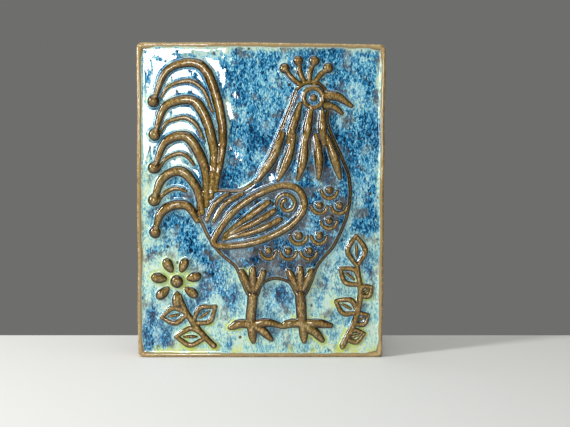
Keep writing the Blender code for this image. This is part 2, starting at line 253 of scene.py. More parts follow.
def spline_point(a, b, c, d, t):
    """A smooth curve from b to c that heads for a before and d after, at share t."""

    def knot(start, p, q):
        return start + max(math.dist(p, q), TOUCHING) ** 0.5

    t0 = 0.0
    t1 = knot(t0, a, b)
    t2 = knot(t1, b, c)
    t3 = knot(t2, c, d)
    s = t1 + (t2 - t1) * t
    ab = mix(a, b, (s - t0) / (t1 - t0))
    bc = mix(b, c, (s - t1) / (t2 - t1))
    cd = mix(c, d, (s - t2) / (t3 - t2))
    abc = mix(ab, bc, (s - t0) / (t2 - t0))
    bcd = mix(bc, cd, (s - t1) / (t3 - t1))
    return mix(abc, bcd, (s - t1) / (t2 - t1))


def smooth_line(points, closed=False, steps=10):
    """A smooth curve through the points, as many short steps."""
    count = len(points)
    if closed:
        ends = [points[-1], *points, points[0], points[1]]
        spans = count
    else:
        before = mix(points[1], points[0], 2.0)
        after = mix(points[-2], points[-1], 2.0)
        ends = [before, *points, after]
        spans = count - 1
    line = [spline_point(*ends[i : i + 4], step / steps) for i in range(spans) for step in range(steps)]
    if not closed:
        line.append(tuple(points[-1]))
    return line


def swell(share, ends, peak):
    """A ridge's radius along its length, as a share of its largest: ends[0], 1 at the peak, ends[1]."""
    if share < peak:
        return ends[0] + (1 - ends[0]) * math.sin(0.5 * math.pi * share / peak)
    return ends[1] + (1 - ends[1]) * math.cos(0.5 * math.pi * (share - peak) / (1 - peak))


def inside(point, outline):
    """Whether a point lies inside a closed outline."""
    within = False
    for (u1, v1), (u2, v2) in zip(outline, outline[1:] + outline[:1]):
        if (v1 > point[1]) != (v2 > point[1]) and point[0] < (u2 - u1) * (point[1] - v1) / (v2 - v1) + u1:
            within = not within
    return within


def distance(point, outline):
    """How far a point is from a closed outline's nearest corner."""
    return min(math.dist(point, corner) for corner in outline)


class Relief:
    """The drawing of the relief in its own units: raised areas, ridges and round bosses."""

    def __init__(self):
        self.areas = []
        self.ridges = []
        self.bosses = []

    def area(self, points):
        """A raised area inside an outline."""
        self.areas.append(points)

    def ridge(self, points, radius, level=FIELD, ends=(0.5, 0.5), peak=0.45, closed=False):
        """A ridge through points, with its ends as shares of its radius, which it has at the peak."""
        self.ridges.append((points, radius, level, ends, peak, closed))

    def boss(self, centre, radius, level=FIELD):
        """A round boss."""
        self.bosses.append((centre, radius, level))


BODY_OUTLINE = (
    (50, 117), (64, 108), (66, 92), (66, 76), (76, 52), (87, 24), (86, -10), (73, -42), (57, -62),
    (50, -80), (43, -92), (34, -92), (27, -80), (14, -76), (3, -81), (-3, -93), (-12, -93), (-19, -81),
    (-26, -65), (-40, -52), (-54, -32), (-63, -8), (-58, 10), (-40, 13), (-20, 13), (-2, 27), (8, 48),
    (17, 70), (26, 92), (34, 110),
)
WING_OUTLINE = (
    (26, 16), (38, 10), (42, -4), (32, -20), (10, -33), (-18, -42),
    (-46, -40), (-38, -24), (-20, -4), (2, 10),
)
EYE = (50, 100)
CREST_ROOT = (44, 105)
SHOULDER = (25, -2)
FLOWER = (-82, -78)


def draw_tail(relief):
    """Arched plumes with a round boss at each tip, and a fine barb line between each two."""
    plumes = 5

    def arch(t):
        return [
            mix((-62, -18), (-44, 12), t),
            mix((-72, -4), (-38, 72), t),
            mix((-86, -4), (-58, 130), t),
            mix((-97, -12), (-89, 127), t),
            mix((-103, -30), (-103, 96), t),
        ]

    for i in range(plumes):
        plume = arch(i / (plumes - 1))
        relief.ridge(plume, radius=5.6, ends=(0.6, 0.5), peak=0.5)
        relief.boss(plume[-1], radius=6.8)
    for i in range(plumes - 1):
        line = smooth_line(arch((i + 0.5) / (plumes - 1)))
        barb = line[int(0.36 * len(line)) : int(0.92 * len(line)) : 4]
        relief.ridge(barb, radius=2.6, ends=(0.6, 0.5))


def draw_saddle(relief):
    """Short plumes that fall from the back beside the wing."""
    for t in (0.0, 0.5):
        fall = [mix((-18, 8), (-45, 8), t), mix((-34, -2), (-55, -3), t), mix((-46, -19), (-60, -18), t)]
        relief.ridge(fall, radius=3.4, level=ON_BODY, ends=(0.7, 0.5))


def draw_wing(relief):
    """A rimmed wing with a coiled shoulder and long flight feathers."""
    relief.ridge(WING_OUTLINE, radius=4.1, level=ON_BODY, ends=(1, 1), closed=True)
    feathers = 3
    for i in range(feathers):
        t = (i + 0.5) / feathers
        feather = [mix((4, 4), (21, -21), t), mix((-14, -11), (-2, -31), t), mix((-35, -31), (-37, -38), t)]
        relief.ridge(feather, radius=4.0, level=ON_BODY, ends=(0.9, 0.4), peak=0.2)
    # From point to point the coil turns 26 degrees and loses a 26th of its radius
    coil = [polar(SHOULDER, 10.8 * (1 - k / 26), 190 - 26 * k) for k in range(18)]
    relief.ridge(coil, radius=2.3, level=ON_BODY, ends=(0.7, 1.0))


def draw_neck(relief):
    """Two tiers of pointed neck plumes."""
    upper = ((32, 96), (64, 86)), ((24, 76), (66, 70)), ((17, 58), (69, 54))
    lower = ((16, 66), (68, 64)), ((4, 44), (78, 42)), ((-14, 20), (86, 24))
    for count, radius, rows in ((3, 5.0, upper), (5, 5.2, lower)):
        for i in range(count):
            t = (i + 0.5) / count
            plume = [mix(*row, t) for row in rows]
            relief.ridge(plume, radius, level=ON_BODY, ends=(0.5, 0.42), peak=0.55)


def draw_breast(relief):
    """Staggered rows of scale feathers with a round boss in each, inside the body and off the wing."""
    body = smooth_line(BODY_OUTLINE, closed=True)
    wing = smooth_line(WING_OUTLINE, closed=True)
    pitch_u, pitch_v = 19.6, 14.8
    wing_gap, boss_gap, scale_gap = 10.0, 6.5, 9.6
    for row in range(-4, 1):
        for column in range(-3, 3):
            centre = (66 + (column + 0.5 * (row % 2)) * pitch_u, 12 + row * pitch_v)
            clear = inside(centre, body) and not inside(centre, wing)
            if not clear or distance(centre, wing) < wing_gap or distance(centre, body) < boss_gap:
                continue
            relief.boss(centre, radius=4.6, level=ON_BODY)
            if distance(centre, body) > scale_gap:
                scale = [polar(centre, 7.9, angle) for angle in range(187, 354, 33)]
                relief.ridge(scale, radius=2.4, level=ON_BODY, ends=(0.75, 0.75))


def draw_head(relief):
    """A ringed eye, a crest of stems with round tips, and a short beak."""
    relief.boss(EYE, radius=3.9, level=ON_BODY)
    ring = [polar(EYE, 9.2, angle) for angle in range(0, 360, 30)]
    relief.ridge(ring, radius=2.6, level=ON_BODY, ends=(1, 1), closed=True)
    for angle in (134, 106, 78, 50):
        bend = polar(CREST_ROOT, 20, angle + 4)
        stem = [polar(CREST_ROOT, 10, angle), bend, polar(CREST_ROOT, 31, angle)]
        relief.ridge(stem, radius=3.2, ends=(0.9, 0.7))
        relief.boss(stem[-1], radius=5.8)
    relief.ridge([(62, 103), (73, 102), (87, 93)], radius=5.6, ends=(1.0, 0.4), peak=0.1)
    relief.ridge([(62, 93), (70, 92), (78, 86)], radius=4.2, ends=(1.0, 0.5), peak=0.1)


def draw_legs(relief):
    """Two feathered thighs on straight legs, each with three toes forward and one back."""
    for knee, lean in (((-8, -92), -2), ((38, -91), 2)):
        for side in (-1, 0, 1):
            top = (knee[0] + 11 * side, knee[1] + 27 - 3 * abs(side))
            tip = (knee[0] + 3 * side, knee[1] + 6)
            relief.ridge([top, tip], radius=4.7, level=ON_BODY, ends=(0.75, 0.5), peak=0.3)
        ankle = (knee[0] + lean, -119)
        relief.ridge([knee, ankle], radius=6.2, ends=(1.0, 0.85), peak=0.2)
        for angle, reach in ((-4, 29), (-38, 26), (-80, 18), (190, 20)):
            root = polar(ankle, 1.5, angle)
            knuckle = polar((ankle[0], ankle[1] + 2), 0.55 * reach, angle)
            relief.ridge([root, knuckle, polar(ankle, reach, angle)], radius=5.2, ends=(0.9, 0.55), peak=0.5)


def draw_leaf(relief, stalk, angle, reach, width):
    """An almond leaf: a rim in two arcs and a short midrib."""
    for turn in (90, -90):
        root = polar(stalk, 0.6, angle + turn)
        side = polar(polar(stalk, 0.5 * reach, angle), width, angle + turn)
        point = polar(polar(stalk, reach, angle), 0.4, angle + turn)
        relief.ridge([root, side, point], radius=3.0, ends=(0.75, 0.7))
    midrib = [polar(stalk, 0.3 * reach, angle), polar(stalk, 0.72 * reach, angle)]
    relief.ridge(midrib, radius=1.8, ends=(0.7, 0.6))


def draw_sprig(relief, stem, leaves):
    """A stem with leaves, each at a share of the stem's length."""
    relief.ridge(stem, radius=3.5, ends=(1, 0.7))
    line = smooth_line(stem)
    for share, angle, reach, width in leaves:
        draw_leaf(relief, line[round(share * (len(line) - 1))], angle, reach, width)


def draw_flower(relief, centre, petals=7, reach=21):
    """A daisy: a boss with a ring of petals."""
    relief.boss(centre, radius=6.8)
    for k in range(petals):
        angle = 360 * k / petals + 15
        petal = [polar(centre, 0.58 * reach, angle), polar(centre, reach, angle)]
        relief.ridge(petal, radius=5.6, ends=(0.5, 0.85), peak=0.75)


def draw_relief():
    """The whole drawing, from the tail to the flower."""
    relief = Relief()
    relief.area(BODY_OUTLINE)
    draw_tail(relief)
    draw_saddle(relief)
    draw_wing(relief)
    draw_neck(relief)
    draw_breast(relief)
    draw_head(relief)
    draw_legs(relief)
    draw_sprig(
        relief,
        [(80, -141), (92, -116), (97, -88), (94, -62)],
        (
            (0.1, 14, 18, 6), (0.3, 30, 16, 6), (0.44, 152, 23, 7.5), (0.62, 36, 14, 5.5),
            (0.76, 142, 24, 7.5), (1.0, 92, 29, 8.5),
        ),
    )
    draw_sprig(
        relief,
        [(-46, -141), (-62, -124), (-74, -106), (-79, -92)],
        ((0.16, 178, 28, 8), (0.42, 36, 27, 8), (0.6, 188, 24, 7.5)),
    )
    draw_flower(relief, FLOWER)
    return relief


def ease(x):
    """A smooth step from 0 to 1."""
    x = np.clip(x, 0.0, 1.0)
    return x * x * (3 - 2 * x)


def over(a, b, softness):
    """The higher of two surfaces, with a fillet where they meet."""
    share = np.clip(0.5 + 0.5 * (b - a) / softness, 0.0, 1.0)
    return a + (b - a) * share + softness * share * (1 - share)


def waves(points, size, seed):
    """A slow, smooth wander between about -1 and 1, with waves of about the size."""
    count, usual_height = 6, 3.5
    chance = np.random.default_rng(seed)
    total = np.zeros(len(points))
    for _ in range(count):
        turn = chance.uniform(0, 2 * math.pi)
        pace = 2 * math.pi / (size * chance.uniform(0.7, 1.5))
        along = points[:, 0] * math.cos(turn) + points[:, 1] * math.sin(turn)
        total += np.sin(along * pace + chance.uniform(0, 2 * math.pi))
    return total / usual_height


class Clay:
    """What the relief does at each point of the face, in the drawing's units."""

    def __init__(self, points):
        self.points = points
        self.height = np.zeros(len(points))
        self.crest = np.zeros(len(points))
        self.shore = np.full(len(points), FAR)
        self.figure = np.zeros(len(points))

    def near(self, line, reach):
        """Which points lie within reach of a line."""
        low, high = line[:, :2].min(0) - reach, line[:, :2].max(0) + reach
        return np.flatnonzero(((self.points > low) & (self.points < high)).all(1))

    def raise_area(self, outline, rise):
        """A raised, slightly crowned area with a rolled edge."""
        line = np.array(smooth_line(outline, closed=True, steps=6))
        near = self.near(line, FAR)
        p = self.points[near]
        away = np.full(len(p), np.inf)
        odd = np.zeros(len(p), bool)
        for a, b in zip(line, np.roll(line, -1, 0)):
            run = b - a
            t = np.clip((p - a) @ run / (run @ run), 0, 1)
            away = np.minimum(away, np.hypot(*(p - a - t[:, None] * run).T))
            crosses = (a[1] > p[:, 1]) != (b[1] > p[:, 1])
            if abs(run[1]) > TINY:
                odd ^= crosses & (p[:, 0] < run[0] * (p[:, 1] - a[1]) / run[1] + a[0])
        depth = np.where(odd, away, -away)
        lift = rise * ease((depth + ROLL_OUTSIDE) / ROLL_WIDTH) + CROWN_RISE * ease(depth / CROWN_REACH)
        worn = WORN_LINE * np.exp(-(((depth - WORN_INSIDE) / WORN_WIDTH) ** 2))
        self.height[near] = over(self.height[near], lift, BODY_FILLET)
        self.crest[near] = np.maximum(self.crest[near], worn)
        self.figure[near] = np.maximum(self.figure[near], ease((depth + 0.5) / 2.0))
        self.shore[near] = np.minimum(self.shore[near], np.abs(depth))

    def raise_ridge(self, line, level):
        """A round ridge along (u, v, radius) points."""
        line = np.array(line)
        near = self.near(line, RIDGE_REACH + line[:, 2].max())
        p = self.points[near]
        away = np.full(len(p), np.inf)
        share = np.full(len(p), np.inf)
        radius = np.ones(len(p))
        for a, b in zip(line, line[1:]):
            run = b[:2] - a[:2]
            t = np.clip((p - a[:2]) @ run / max(run @ run, TINY), 0, 1)
            d = np.hypot(*(p - a[:2] - t[:, None] * run).T)
            r = a[2] + (b[2] - a[2]) * t
            closer = d / r < share
            share = np.where(closer, d / r, share)
            radius = np.where(closer, r, radius)
            away = np.minimum(away, d - r)
        self.settle(near, share, radius, away, level)

    def raise_boss(self, centre, radius, level):
        """A round boss."""
        line = np.array([[*centre, radius]])
        near = self.near(line, RIDGE_REACH + radius)
        d = np.hypot(*(self.points[near] - centre).T)
        self.settle(near, d / radius, np.full(len(near), radius), d - radius, level)

    def settle(self, near, share, radius, away, level):
        """Adds a round shape: share is 0 on its crest and 1 at its foot."""
        round_top = np.clip(1 - share**2, 0, 1)
        dome = (1 - RIDGE_SINK) * radius * round_top**RIDGE_FULLNESS
        rise = np.where(share < 1, dome, -SKIRT_FALL * away)
        ground = self.height[near]
        base = np.minimum(level, ground + RIDGE_STEP) if level > FIELD else FIELD
        self.height[near] = over(ground, base + rise, RIDGE_FILLET)
        self.crest[near] = np.maximum(self.crest[near], round_top)
        self.shore[near] = np.minimum(self.shore[near], np.clip(away, 0, FAR))


def press_clay(points):
    """The clay's height and what the glaze needs to know, at points in the drawing's units."""
    wander = 0.5 * np.stack([waves(points, 60, seed=3), waves(points, 55, seed=4)], 1)
    wander += 0.16 * np.stack([waves(points, 17, seed=5), waves(points, 15, seed=6)], 1)
    clay = Clay(points + wander)
    relief = draw_relief()
    for outline in relief.areas:
        clay.raise_area(outline, ON_BODY)
    for line, radius, level, ends, peak, closed in relief.ridges:
        path = smooth_line(line, closed)
        if closed:
            path.append(path[0])
        walked = np.concatenate([[0], np.cumsum(np.hypot(*np.diff(np.array(path), axis=0).T))])
        shares = walked / walked[-1]
        swells = [1.0 if closed else swell(s, ends, peak) for s in shares]
        clay.raise_ridge([(u, v, radius * k) for (u, v), k in zip(path, swells)], level)
    for centre, radius, level in relief.bosses:
        clay.raise_boss(centre, radius, level)
    clay.points = points
    return clay


def deselect_all():
    """Leaves nothing selected, in object mode."""
    if bpy.context.mode != "OBJECT":
        bpy.ops.object.mode_set(mode="OBJECT")
    bpy.ops.object.select_all(action="DESELECT")


def select_only(obj):
    """Selects one object and makes it the active one."""
    deselect_all()
    obj.select_set(True)
    bpy.context.view_layer.objects.active = obj


def edit(obj):
    """Opens a mesh for editing with nothing selected."""
    select_only(obj)
    bpy.ops.object.mode_set(mode="EDIT")
    bpy.ops.mesh.select_mode(type="VERT")
    bpy.ops.mesh.select_all(action="DESELECT")


def read_points(mesh):
    """A mesh's points, a row each."""
    flat = np.empty(len(mesh.vertices) * 3)
    mesh.vertices.foreach_get("co", flat)
    return flat.reshape(-1, 3)


def write_points(mesh, points):
    """Puts a mesh's points in new places."""
    mesh.vertices.foreach_set("co", np.ascontiguousarray(points).ravel())
    mesh.update()


def write_attribute(mesh, name, values):
    """Notes a value at each point of a mesh, for the glaze to read."""
    mesh.attributes.new(name, "FLOAT", "POINT").data.foreach_set("value", np.asarray(values, np.float32))


def flat_sheet(sizes):
    """The face as a flat sheet with round corners, up to where its edge starts to round over."""
    width, height = sizes.width - 2 * sizes.edge, sizes.height - 2 * sizes.edge
    deselect_all()
    bpy.ops.mesh.primitive_grid_add(
        x_subdivisions=round(width / sizes.grid), y_subdivisions=round(height / sizes.grid), size=1
    )
    sheet = bpy.context.object
    sheet.name = "stoneware_plaque"
    sheet.data.name = "stoneware_plaque"
    points = read_points(sheet.data) * (width, height, 1)
    half, radius = np.array([width, height]) / 2, sizes.corner
    past = np.abs(points[:, :2]) - (half - radius)
    corner = (past > TOUCHING).all(1)
    pull = past[corner].max(1) / np.hypot(*past[corner].T)
    side = np.sign(points[corner, :2])
    points[corner, :2] = side * (half - radius + past[corner] * pull[:, None])
    points[:, 2] = sizes.thickness + sizes.lip_height
    write_points(sheet.data, points)
    return sheet


def carry_edge(sheet, sizes):
    """Carries the sheet's border over the rounded edge, down the side and under, and closes the back."""
    top = sizes.thickness + sizes.lip_height
    half_u, half_v = sizes.width / 2 - sizes.edge, sizes.height / 2 - sizes.edge
    arc = [math.radians(a) for a in (30, 60, 90)]
    rows = 3
    side = top - 2 * sizes.edge
    stops = [(sizes.edge * math.sin(a), top - sizes.edge * (1 - math.cos(a))) for a in arc]
    stops += [(sizes.edge, top - side * (k + 1) / rows - sizes.edge) for k in range(rows)]
    stops += [(sizes.edge * math.cos(a), sizes.edge * (1 - math.sin(a))) for a in arc]
    edit(sheet)
    bpy.ops.mesh.select_non_manifold()
    out, level = 0.0, top
    for next_out, next_level in stops:
        bpy.ops.mesh.extrude_edges_move(TRANSFORM_OT_translate={"value": (0, 0, next_level - level)})
        grow = ((half_u + next_out) / (half_u + out), (half_v + next_out) / (half_v + out), 1)
        bpy.ops.transform.resize(value=grow, center_override=(0, 0, 0))
        out, level = next_out, next_level
    bpy.ops.mesh.edge_face_add()
    bpy.ops.object.mode_set(mode="OBJECT")


def well_cutter(name, width, height, depth, corner, centre):
    """A block with round upright corners and a soft floor, for a well in the back."""
    deselect_all()
    bpy.ops.mesh.primitive_cube_add(size=1, location=(*centre, 0))
    cutter = bpy.context.object
    cutter.name = name
    cutter.scale = (width, height, 2 * depth)
    bpy.ops.object.transform_apply(location=True, scale=True)
    # The upright edges first, and then the edges round the floor
    for offset, segments, pick in (
        (corner, 6, lambda a, b: abs(a.z - b.z) > depth),
        (min(corner, depth) * FLOOR_ROUNDING, 3, lambda a, b: a.z > 0.9 * depth and b.z > 0.9 * depth),
    ):
        edit(cutter)
        bpy.ops.object.mode_set(mode="OBJECT")
        verts = cutter.data.vertices
        for edge in cutter.data.edges:
            edge.select = pick(verts[edge.vertices[0]].co, verts[edge.vertices[1]].co)
        bpy.ops.object.mode_set(mode="EDIT")
        bpy.ops.mesh.select_mode(type="EDGE")
        bpy.ops.mesh.bevel(
            offset=offset, segments=segments, profile=0.5, affect="EDGES", clamp_overlap=True
        )
        bpy.ops.object.mode_set(mode="OBJECT")
    return cutter


def sink_back(slab, sizes):
    """Two wells and a nail pocket in the back."""
    well_top = sizes.height / 2 - sizes.top_rim
    well_foot = -sizes.height / 2 + sizes.rim
    half_band = sizes.band / 2
    wells = (("upper_well", half_band, well_top), ("lower_well", well_foot, -half_band))
    cutters = []
    for name, low, high in wells:
        width, middle = sizes.width - 2 * sizes.rim, (0, (low + high) / 2)
        cutters.append(
            well_cutter(name, width, high - low, sizes.well_depth, sizes.well_corner, middle)
        )
    width, height, depth = sizes.pocket_width, sizes.pocket_height, sizes.pocket_depth
    middle = (0, sizes.height / 2 - sizes.top_rim / 2)
    cutters.append(well_cutter("nail_pocket", width, height, depth, height / 3, middle))
    for cutter in cutters:
        select_only(slab)
        cut = slab.modifiers.new(cutter.name, "BOOLEAN")
        cut.operation = "DIFFERENCE"
        cut.solver = "MANIFOLD"
        cut.object = cutter
        bpy.ops.object.modifier_apply(modifier=cut.name)
        bpy.data.objects.remove(cutter)


def model_relief(slab, sizes):
    """Presses the drawing into the flat face and notes for the glaze where it stands out."""
    points = read_points(slab.data)
    unit = sizes.figure / FIGURE_UNITS
    top = sizes.thickness + sizes.lip_height
    clay = press_clay(points[:, :2] / unit)

    half = np.array([sizes.width, sizes.height]) / 2
    past = np.abs(points[:, :2]) - (half - sizes.corner)
    from_edge = sizes.corner - np.where(
        (past > 0).all(1), np.hypot(*np.maximum(past, 0).T), past.max(1)
    )
    wander = MM * (0.5 * waves(clay.points, 60, seed=8) + 0.2 * waves(clay.points, 17, seed=9))
    lip = 1 - ease((from_edge + wander - LIP_FLAT * sizes.lip_width) / (LIP_SLOPE * sizes.lip_width))
    fade = ease((from_edge - FADE_START) / FADE_WIDTH)
    ground = MM * (0.22 * waves(clay.points, 34, seed=1) + 0.07 * waves(clay.points, 13, seed=2))
    field = (clay.height * unit + ground) * fade
    face = sizes.thickness + np.maximum(field, -FIELD_SINK)
    face = over(face, sizes.thickness + lip * sizes.lip_height, LIP_FILLET)
    front = np.abs(points[:, 2] - top) < TOUCHING
    points[front, 2] = face[front]

    # The upper edge bows, and the outline wanders as hand-pressed clay does
    bow = TOP_BOW * (1 - (points[:, 0] / half[0]) ** 2)
    upper = ease((points[:, 1] / half[1] - BOW_FROM) / (1 - BOW_FROM))
    points[:, 1] += upper * (bow + 0.6 * sizes.wobble * waves(clay.points, 70, seed=11))
    outer = ease((np.abs(points[:, 0]) / half[0] - WANDER_FROM) / (1 - WANDER_FROM))
    side = np.sign(points[:, 0]) * outer
    points[:, 0] += side * sizes.wobble * waves(clay.points, 80, seed=12)
    write_points(slab.data, points)

    # What the glaze reads: crests, distances from a shape and from the border, the body, and depth
    corner = ease(1 - np.hypot(*(half - np.abs(points[:, :2])).T) / CORNER_REACH)
    start = BARE_START + CORNER_WEAR * corner
    bared = 1 - ease((from_edge + 0.5 * wander - start) / BARE_WIDTH)
    rim = np.clip((from_edge - sizes.edge) / MM, 0, FAR)
    depth = np.clip((top - points[:, 2]) / top, 0, 1)
    for name, on_face, elsewhere in (
        ("crest", np.maximum(clay.crest * fade, bared**1.5), 1.0),
        ("shore", clay.shore / FAR, 0.0),
        ("rim", rim / FAR, SIDE_RIM / FAR),
        ("figure", clay.figure, 0.0),
        ("depth", 0.0, depth),
    ):
        write_attribute(slab.data, name, np.where(front, on_face, elsewhere))


def stand_up(obj):
    """Stands the lying plaque up with its face towards -Y, its place in its mesh."""
    obj.data.transform(Matrix.Rotation(math.pi / 2, 4, "X"))
    obj.data.update()


def first_output(node):
    """The first of a node's outputs that its settings leave in use."""
    return next(output for output in node.outputs if output.enabled)


def add_node(tree, kind, inputs=None, **settings):
    """Adds a node. Each input takes a value, an output, or a node's first output."""
    node = tree.nodes.new(kind)
    for name, value in settings.items():
        setattr(node, name, value)
    for socket, value in (inputs or {}).items():
        if isinstance(value, bpy.types.Node):
            value = first_output(value)
        if isinstance(value, bpy.types.NodeSocket):
            tree.links.new(value, node.inputs[socket])
        else:
            node.inputs[socket].default_value = value
    return node


def fill_ramp(node, stops):
    """Spreads colours over a ramp, each at its place between 0 and 1."""
    band = node.color_ramp
    while len(band.elements) < len(stops):
        band.elements.new(0.5)
    for element, (place, value) in zip(band.elements, stops):
        element.position = place
        element.color = value
    return node


def pool_paleness(tree, height, cloud, tone, shore, rim, figure):
    """How pale the pools are: most along the border and low on the face, least on the bird's body."""
    pale = add_node(
        tree, "ShaderNodeMapRange",
        {"Value": rim, "From Min": 0.0, "From Max": PALE_BORDER, "To Min": 0.9, "To Max": 0.0},
        interpolation_type="SMOOTHSTEP",
    )
    for field, weight in ((cloud, 1.3), (tone, 1.6), (figure, -0.7), (height, -2.8), (shore, -1.0)):
        pale = add_node(tree, "ShaderNodeMath", {0: field, 1: weight, 2: pale}, operation="MULTIPLY_ADD")
    pale = add_node(
        tree, "ShaderNodeMapRange", {"Value": pale, "From Min": 1.06, "From Max": 1.74},
        interpolation_type="SMOOTHSTEP",
    )

    # A pale band of some 6 mm inside the border
    band = add_node(tree, "ShaderNodeMath", {0: cloud, 1: tone}, operation="ADD")
    band = add_node(tree, "ShaderNodeMath", {0: band, 1: 0.5, 2: -0.25}, operation="MULTIPLY_ADD")
    band = add_node(tree, "ShaderNodeMath", {0: band, 1: rim}, operation="SUBTRACT")
    band = add_node(
        tree, "ShaderNodeMapRange", {"Value": band, "From Min": -0.04, "From Max": 0.17},
        interpolation_type="SMOOTHSTEP",
    )
    return add_node(tree, "ShaderNodeMath", {0: pale, 1: band}, operation="MAXIMUM")


def mottled_pools(tree, colours, pale, grain, cloud, tone, figure):
    """Pools of blue mottled by crystals, in a deep and a pale mixture."""
    mottle = grain
    for field, weight in ((cloud, 0.42), (tone, 0.34), (figure, -0.09)):
        mottle = add_node(
            tree, "ShaderNodeMath", {0: field, 1: weight, 2: mottle}, operation="MULTIPLY_ADD"
        )
    mottle = add_node(tree, "ShaderNodeMapRange", {"Value": mottle, "From Min": 0.64, "From Max": 1.11})
    deep = fill_ramp(
        add_node(tree, "ShaderNodeValToRGB", {"Fac": mottle}),
        (
            (0.14, colours.ink), (0.32, colours.deep), (0.49, colours.azure), (0.64, colours.sky),
            (0.79, colours.aqua), (0.9, colours.celadon), (1.0, colours.cream),
        ),
    )
    shallow = fill_ramp(
        add_node(tree, "ShaderNodeValToRGB", {"Fac": mottle}),
        (
            (0.08, colours.azure), (0.20, colours.sky), (0.34, colours.sage), (0.46, colours.aqua),
            (0.58, colours.celadon), (0.80, colours.cream),
        ),
    )
    return add_node(tree, "ShaderNodeMix", {SHARE: pale, UNDER: deep, OVER: shallow}, data_type="RGBA")


def iron_marks(tree, colours, pool, place, grain, figure):
    """Grey iron smudges broken up by the crystals, and dark iron pinholes."""
    spots = add_node(tree, "ShaderNodeTexNoise", {"Vector": place, "Scale": 1 / SMUDGE, "Detail": 4.0})
    for field, weight in ((grain, -0.16), (figure, 0.09)):
        spots = add_node(
            tree, "ShaderNodeMath", {0: field, 1: weight, 2: spots}, operation="MULTIPLY_ADD"
        )
    spots = add_node(
        tree, "ShaderNodeMapRange",
        {"Value": spots, "From Min": 0.45, "From Max": 0.6, "To Max": 0.75},
        interpolation_type="SMOOTHSTEP",
    )
    pool = add_node(
        tree, "ShaderNodeMix", {SHARE: spots, UNDER: pool, OVER: colours.smudge}, data_type="RGBA"
    )

    # Some of the places hold a pinhole of 1 to 3 mm, drawn as coarse as it needs to show
    places = add_node(tree, "ShaderNodeTexVoronoi", {"Vector": place, "Scale": 1 / PINHOLE_PITCH})
    hole = add_node(
        tree, "ShaderNodeMapRange",
        {
            "Value": places.outputs["Distance"], "From Min": 0.14, "From Max": 0.24,
            "To Min": 0.95, "To Max": 0.0,
        },
    )
    chosen = add_node(
        tree, "ShaderNodeMapRange", {"Value": places.outputs["Color"], "From Min": 0.5, "From Max": 0.52}
    )
    hole = add_node(tree, "ShaderNodeMath", {0: hole, 1: chosen}, operation="MULTIPLY")
    return add_node(
        tree, "ShaderNodeMix", {SHARE: hole, UNDER: pool, OVER: colours.umber}, data_type="RGBA"
    )


def ash_green(tree, colours, pool, height, grain, cloud, tone, shore):
    """Yellow-green where ash gathered: in patches along the shapes low on the face and along its foot."""
    gather = cloud
    for field, weight in ((shore, -2.2), (grain, 0.5)):
        gather = add_node(
            tree, "ShaderNodeMath", {0: field, 1: weight, 2: gather}, operation="MULTIPLY_ADD"
        )
    lime = add_node(tree, "ShaderNodeMapRange", {"Value": gather, "From Min": 0.56, "From Max": 0.74})
    patches = add_node(tree, "ShaderNodeMapRange", {"Value": tone, "From Min": 0.48, "From Max": 0.54})
    low = add_node(
        tree, "ShaderNodeMapRange", {"Value": height, "From Min": ASH_START, "From Max": ASH_FULL}
    )
    for field in (patches, low):
        lime = add_node(tree, "ShaderNodeMath", {0: field, 1: lime}, operation="MULTIPLY")
    foot = add_node(
        tree, "ShaderNodeMapRange", {"Value": height, "From Min": SEEP_START, "From Max": SEEP_FULL}
    )
    seep = add_node(
        tree, "ShaderNodeMapRange", {"Value": cloud, "From Min": 0.5, "From Max": 0.6, "To Max": 0.85}
    )
    lime = add_node(
        tree, "ShaderNodeMath", {0: foot, 1: seep, 2: lime}, operation="MULTIPLY_ADD", use_clamp=True
    )
    return add_node(
        tree, "ShaderNodeMix", {SHARE: lime, UNDER: pool, OVER: colours.lime}, data_type="RGBA"
    )


def bare_crests(tree, colours, worn, border, grain, cloud):
    """The brown body under thin glaze, pale at the border, with painted shade at the ridges' feet and sides
    and painted light on their backs.
    """
    # Painted shade and light over the body's own speckled brown: umber on the ridges' sides, rising through
    # ochre to straw on their backs
    backs = add_node(tree, "ShaderNodeMath", {0: grain, 1: 1.4, 2: worn}, operation="MULTIPLY_ADD")
    backs = add_node(tree, "ShaderNodeMapRange", {"Value": backs, "From Min": 1.2, "From Max": 2.02})
    body = fill_ramp(
        add_node(tree, "ShaderNodeValToRGB", {"Fac": backs}),
        ((0.0, colours.umber), (0.55, colours.ochre), (1.0, colours.straw)),
    )
    thick = add_node(
        tree, "ShaderNodeMapRange", {"Value": cloud, "From Min": 0.46, "From Max": 0.66, "To Max": 0.45}
    )
    body = add_node(
        tree, "ShaderNodeMix", {SHARE: thick, UNDER: body, OVER: colours.moss}, data_type="RGBA"
    )
    tan = add_node(tree, "ShaderNodeMath", {0: border, 1: 0.5}, operation="MULTIPLY")
    body = add_node(
        tree, "ShaderNodeMix", {SHARE: tan, UNDER: body, OVER: colours.straw}, data_type="RGBA"
    )
    # Painted shade: the near-black foot colour at the ridges' feet, fading into the body up their sides, and
    # none at the border
    painted_shade_fade = add_node(
        tree, "ShaderNodeMapRange", {"Value": worn, "From Min": 0.18, "From Max": 0.8},
        interpolation_type="SMOOTHSTEP",
    )
    painted_shade_fade = add_node(tree, "ShaderNodeMath", {0: painted_shade_fade, 1: border}, operation="ADD", use_clamp=True)
    return add_node(
        tree, "ShaderNodeMix", {SHARE: painted_shade_fade, UNDER: colours.foot, OVER: body}, data_type="RGBA"
    )


